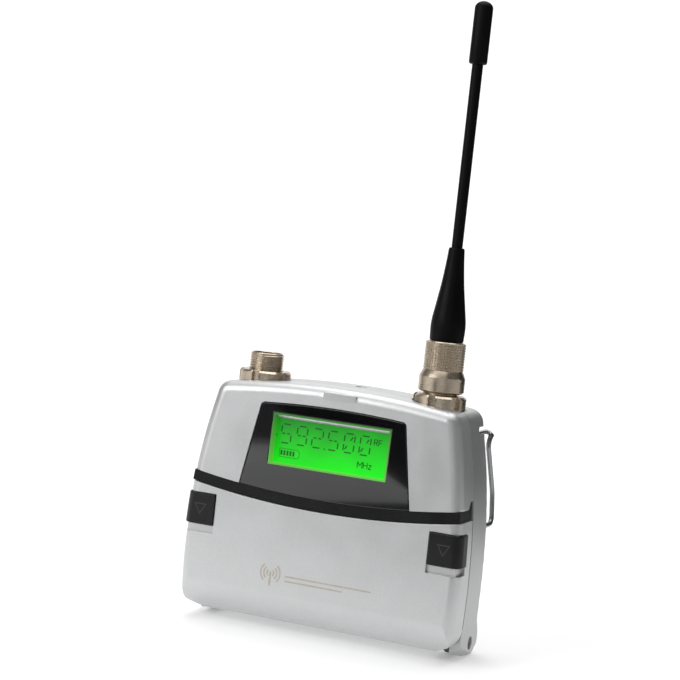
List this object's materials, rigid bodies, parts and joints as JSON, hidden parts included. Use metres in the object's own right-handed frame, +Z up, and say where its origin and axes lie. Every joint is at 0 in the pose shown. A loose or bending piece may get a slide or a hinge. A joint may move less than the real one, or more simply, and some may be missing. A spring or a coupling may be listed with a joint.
{
  "type": "wireless bodypack transmitter",
  "caption": "Pocket-size wireless bodypack transmitter with a screw-on whip antenna, a threaded audio socket, a lit display, a latched battery door and a wire belt clip.",
  "frame": {"origin": "middle of the bounding box at the base, on the surface the transmitter stands on", "axes": "+X to the right seen from the display side, +Y towards the belt clip, +Z up along the antenna"},
  "size_m": [0.06, 0.0231, 0.13],
  "materials": {
    "housing_silver": "fine satin silver paint",
    "cover_silver": "fine satin silver paint",
    "black_plastic": "fine-grained black moulding",
    "latch_black": "textured black moulding",
    "window_black": "polished dark window",
    "bezel_green": "lit edge of the display",
    "lcd_green": "backlit display glass",
    "backlight": "light guide",
    "nickel": "warm satin nickel plating",
    "insulator": "dark insulator",
    "contact_gold": "plated contacts",
    "antenna_rubber": "smooth black moulded rubber",
    "wire_steel": "drawn spring-steel wire",
    "steel": "turned steel",
    "board_green": "solder-masked board",
    "shield_tin": "tin-plated can",
    "cell_wrap": "printed cell sleeve",
    "button_grey": "soft button"
  },
  "bodies": {
    "housing": {"rear_housing": "housing_silver", "front_cover": "cover_silver", "seal_band": "black_plastic", "display_window": "window_black", "lcd_bezel": "bezel_green", "lcd_glass": "lcd_green", "backlight": "backlight", "display_carrier": "black_plastic", "display_board": "board_green", "board_header": "black_plastic", "main_board": "board_green", "rf_shield": "shield_tin", "top_screw": "steel", "rear_screws": "steel", "hinge_blocks": "black_plastic", "hinge_pin_left": "steel", "hinge_pin_right": "steel", "battery_tray": "black_plastic", "lower_cell": "cell_wrap", "upper_cell": "cell_wrap", "cell_plus_contacts": "shield_tin", "cell_springs": "shield_tin", "control_plate": "black_plastic", "control_switches": "black_plastic", "control_board": "board_green", "audio_socket_body": "nickel", "audio_ring_nut": "nickel", "audio_insulator": "insulator", "audio_contacts": "contact_gold", "antenna_socket_body": "nickel", "antenna_ring_nut": "nickel", "antenna_insulator": "insulator", "antenna_contacts": "contact_gold", "antenna_boot": "antenna_rubber", "antenna_whip": "antenna_rubber", "antenna_tip_cap": "antenna_rubber"},
    "battery_door": {"battery_door": "housing_silver", "door_liner": "black_plastic", "latch_spring_left": "steel", "latch_spring_right": "steel"},
    "latch_left": {"latch_left": "latch_black"},
    "latch_right": {"latch_right": "latch_black"},
    "belt_clip": {"belt_clip": "wire_steel"},
    "power_button": {"power_button": "button_grey"},
    "set_button": {"set_button": "button_grey"},
    "channel_rocker": {"channel_rocker": "button_grey"},
    "antenna_coupling": {"antenna_coupling": "nickel"}
  },
  "joints": [
    {"name": "door_hinge", "type": "hinge", "parent": "housing", "child": "battery_door", "pos_m": [0, 0.0029, 0.0028], "axis": [1, 0, 0], "range_deg": [0, 105]},
    {"name": "latch_left_slide", "type": "slide", "parent": "battery_door", "child": "latch_left", "axis": [0, 0, -1], "range_m": [0, 0.0015], "stiffness_N_per_m": 600, "springref_m": -0.001, "deforming": ["latch_spring_left"]},
    {"name": "latch_right_slide", "type": "slide", "parent": "battery_door", "child": "latch_right", "axis": [0, 0, -1], "range_m": [0, 0.0015], "stiffness_N_per_m": 600, "springref_m": -0.001, "deforming": ["latch_spring_right"]},
    {"name": "clip_spring", "type": "hinge", "parent": "housing", "child": "belt_clip", "pos_m": [0, 0.0029, 0.0261], "axis": [-1, 0, 0], "range_deg": [0, 12], "stiffness_Nm_per_rad": 0.4, "springref_deg": -2.86},
    {"name": "power_button_press", "type": "slide", "parent": "housing", "child": "power_button", "axis": [0, 1, 0], "range_m": [0, 0.0004], "stiffness_N_per_m": 800, "springref_m": -0.0005},
    {"name": "set_button_press", "type": "slide", "parent": "housing", "child": "set_button", "axis": [0, 1, 0], "range_m": [0, 0.0004], "stiffness_N_per_m": 800, "springref_m": -0.0005},
    {"name": "channel_rocker_tilt", "type": "hinge", "parent": "housing", "child": "channel_rocker", "pos_m": [0.025, -0.0041, 0.015], "axis": [1, 0, 0], "range_deg": [-4, 4], "stiffness_Nm_per_rad": 0.02},
    {"name": "coupling_turn", "type": "hinge", "parent": "housing", "child": "antenna_coupling", "pos_m": [0.0191, -0.0021, 0.057], "axis": [0, 0, 1], "continuous": true}
  ]
}
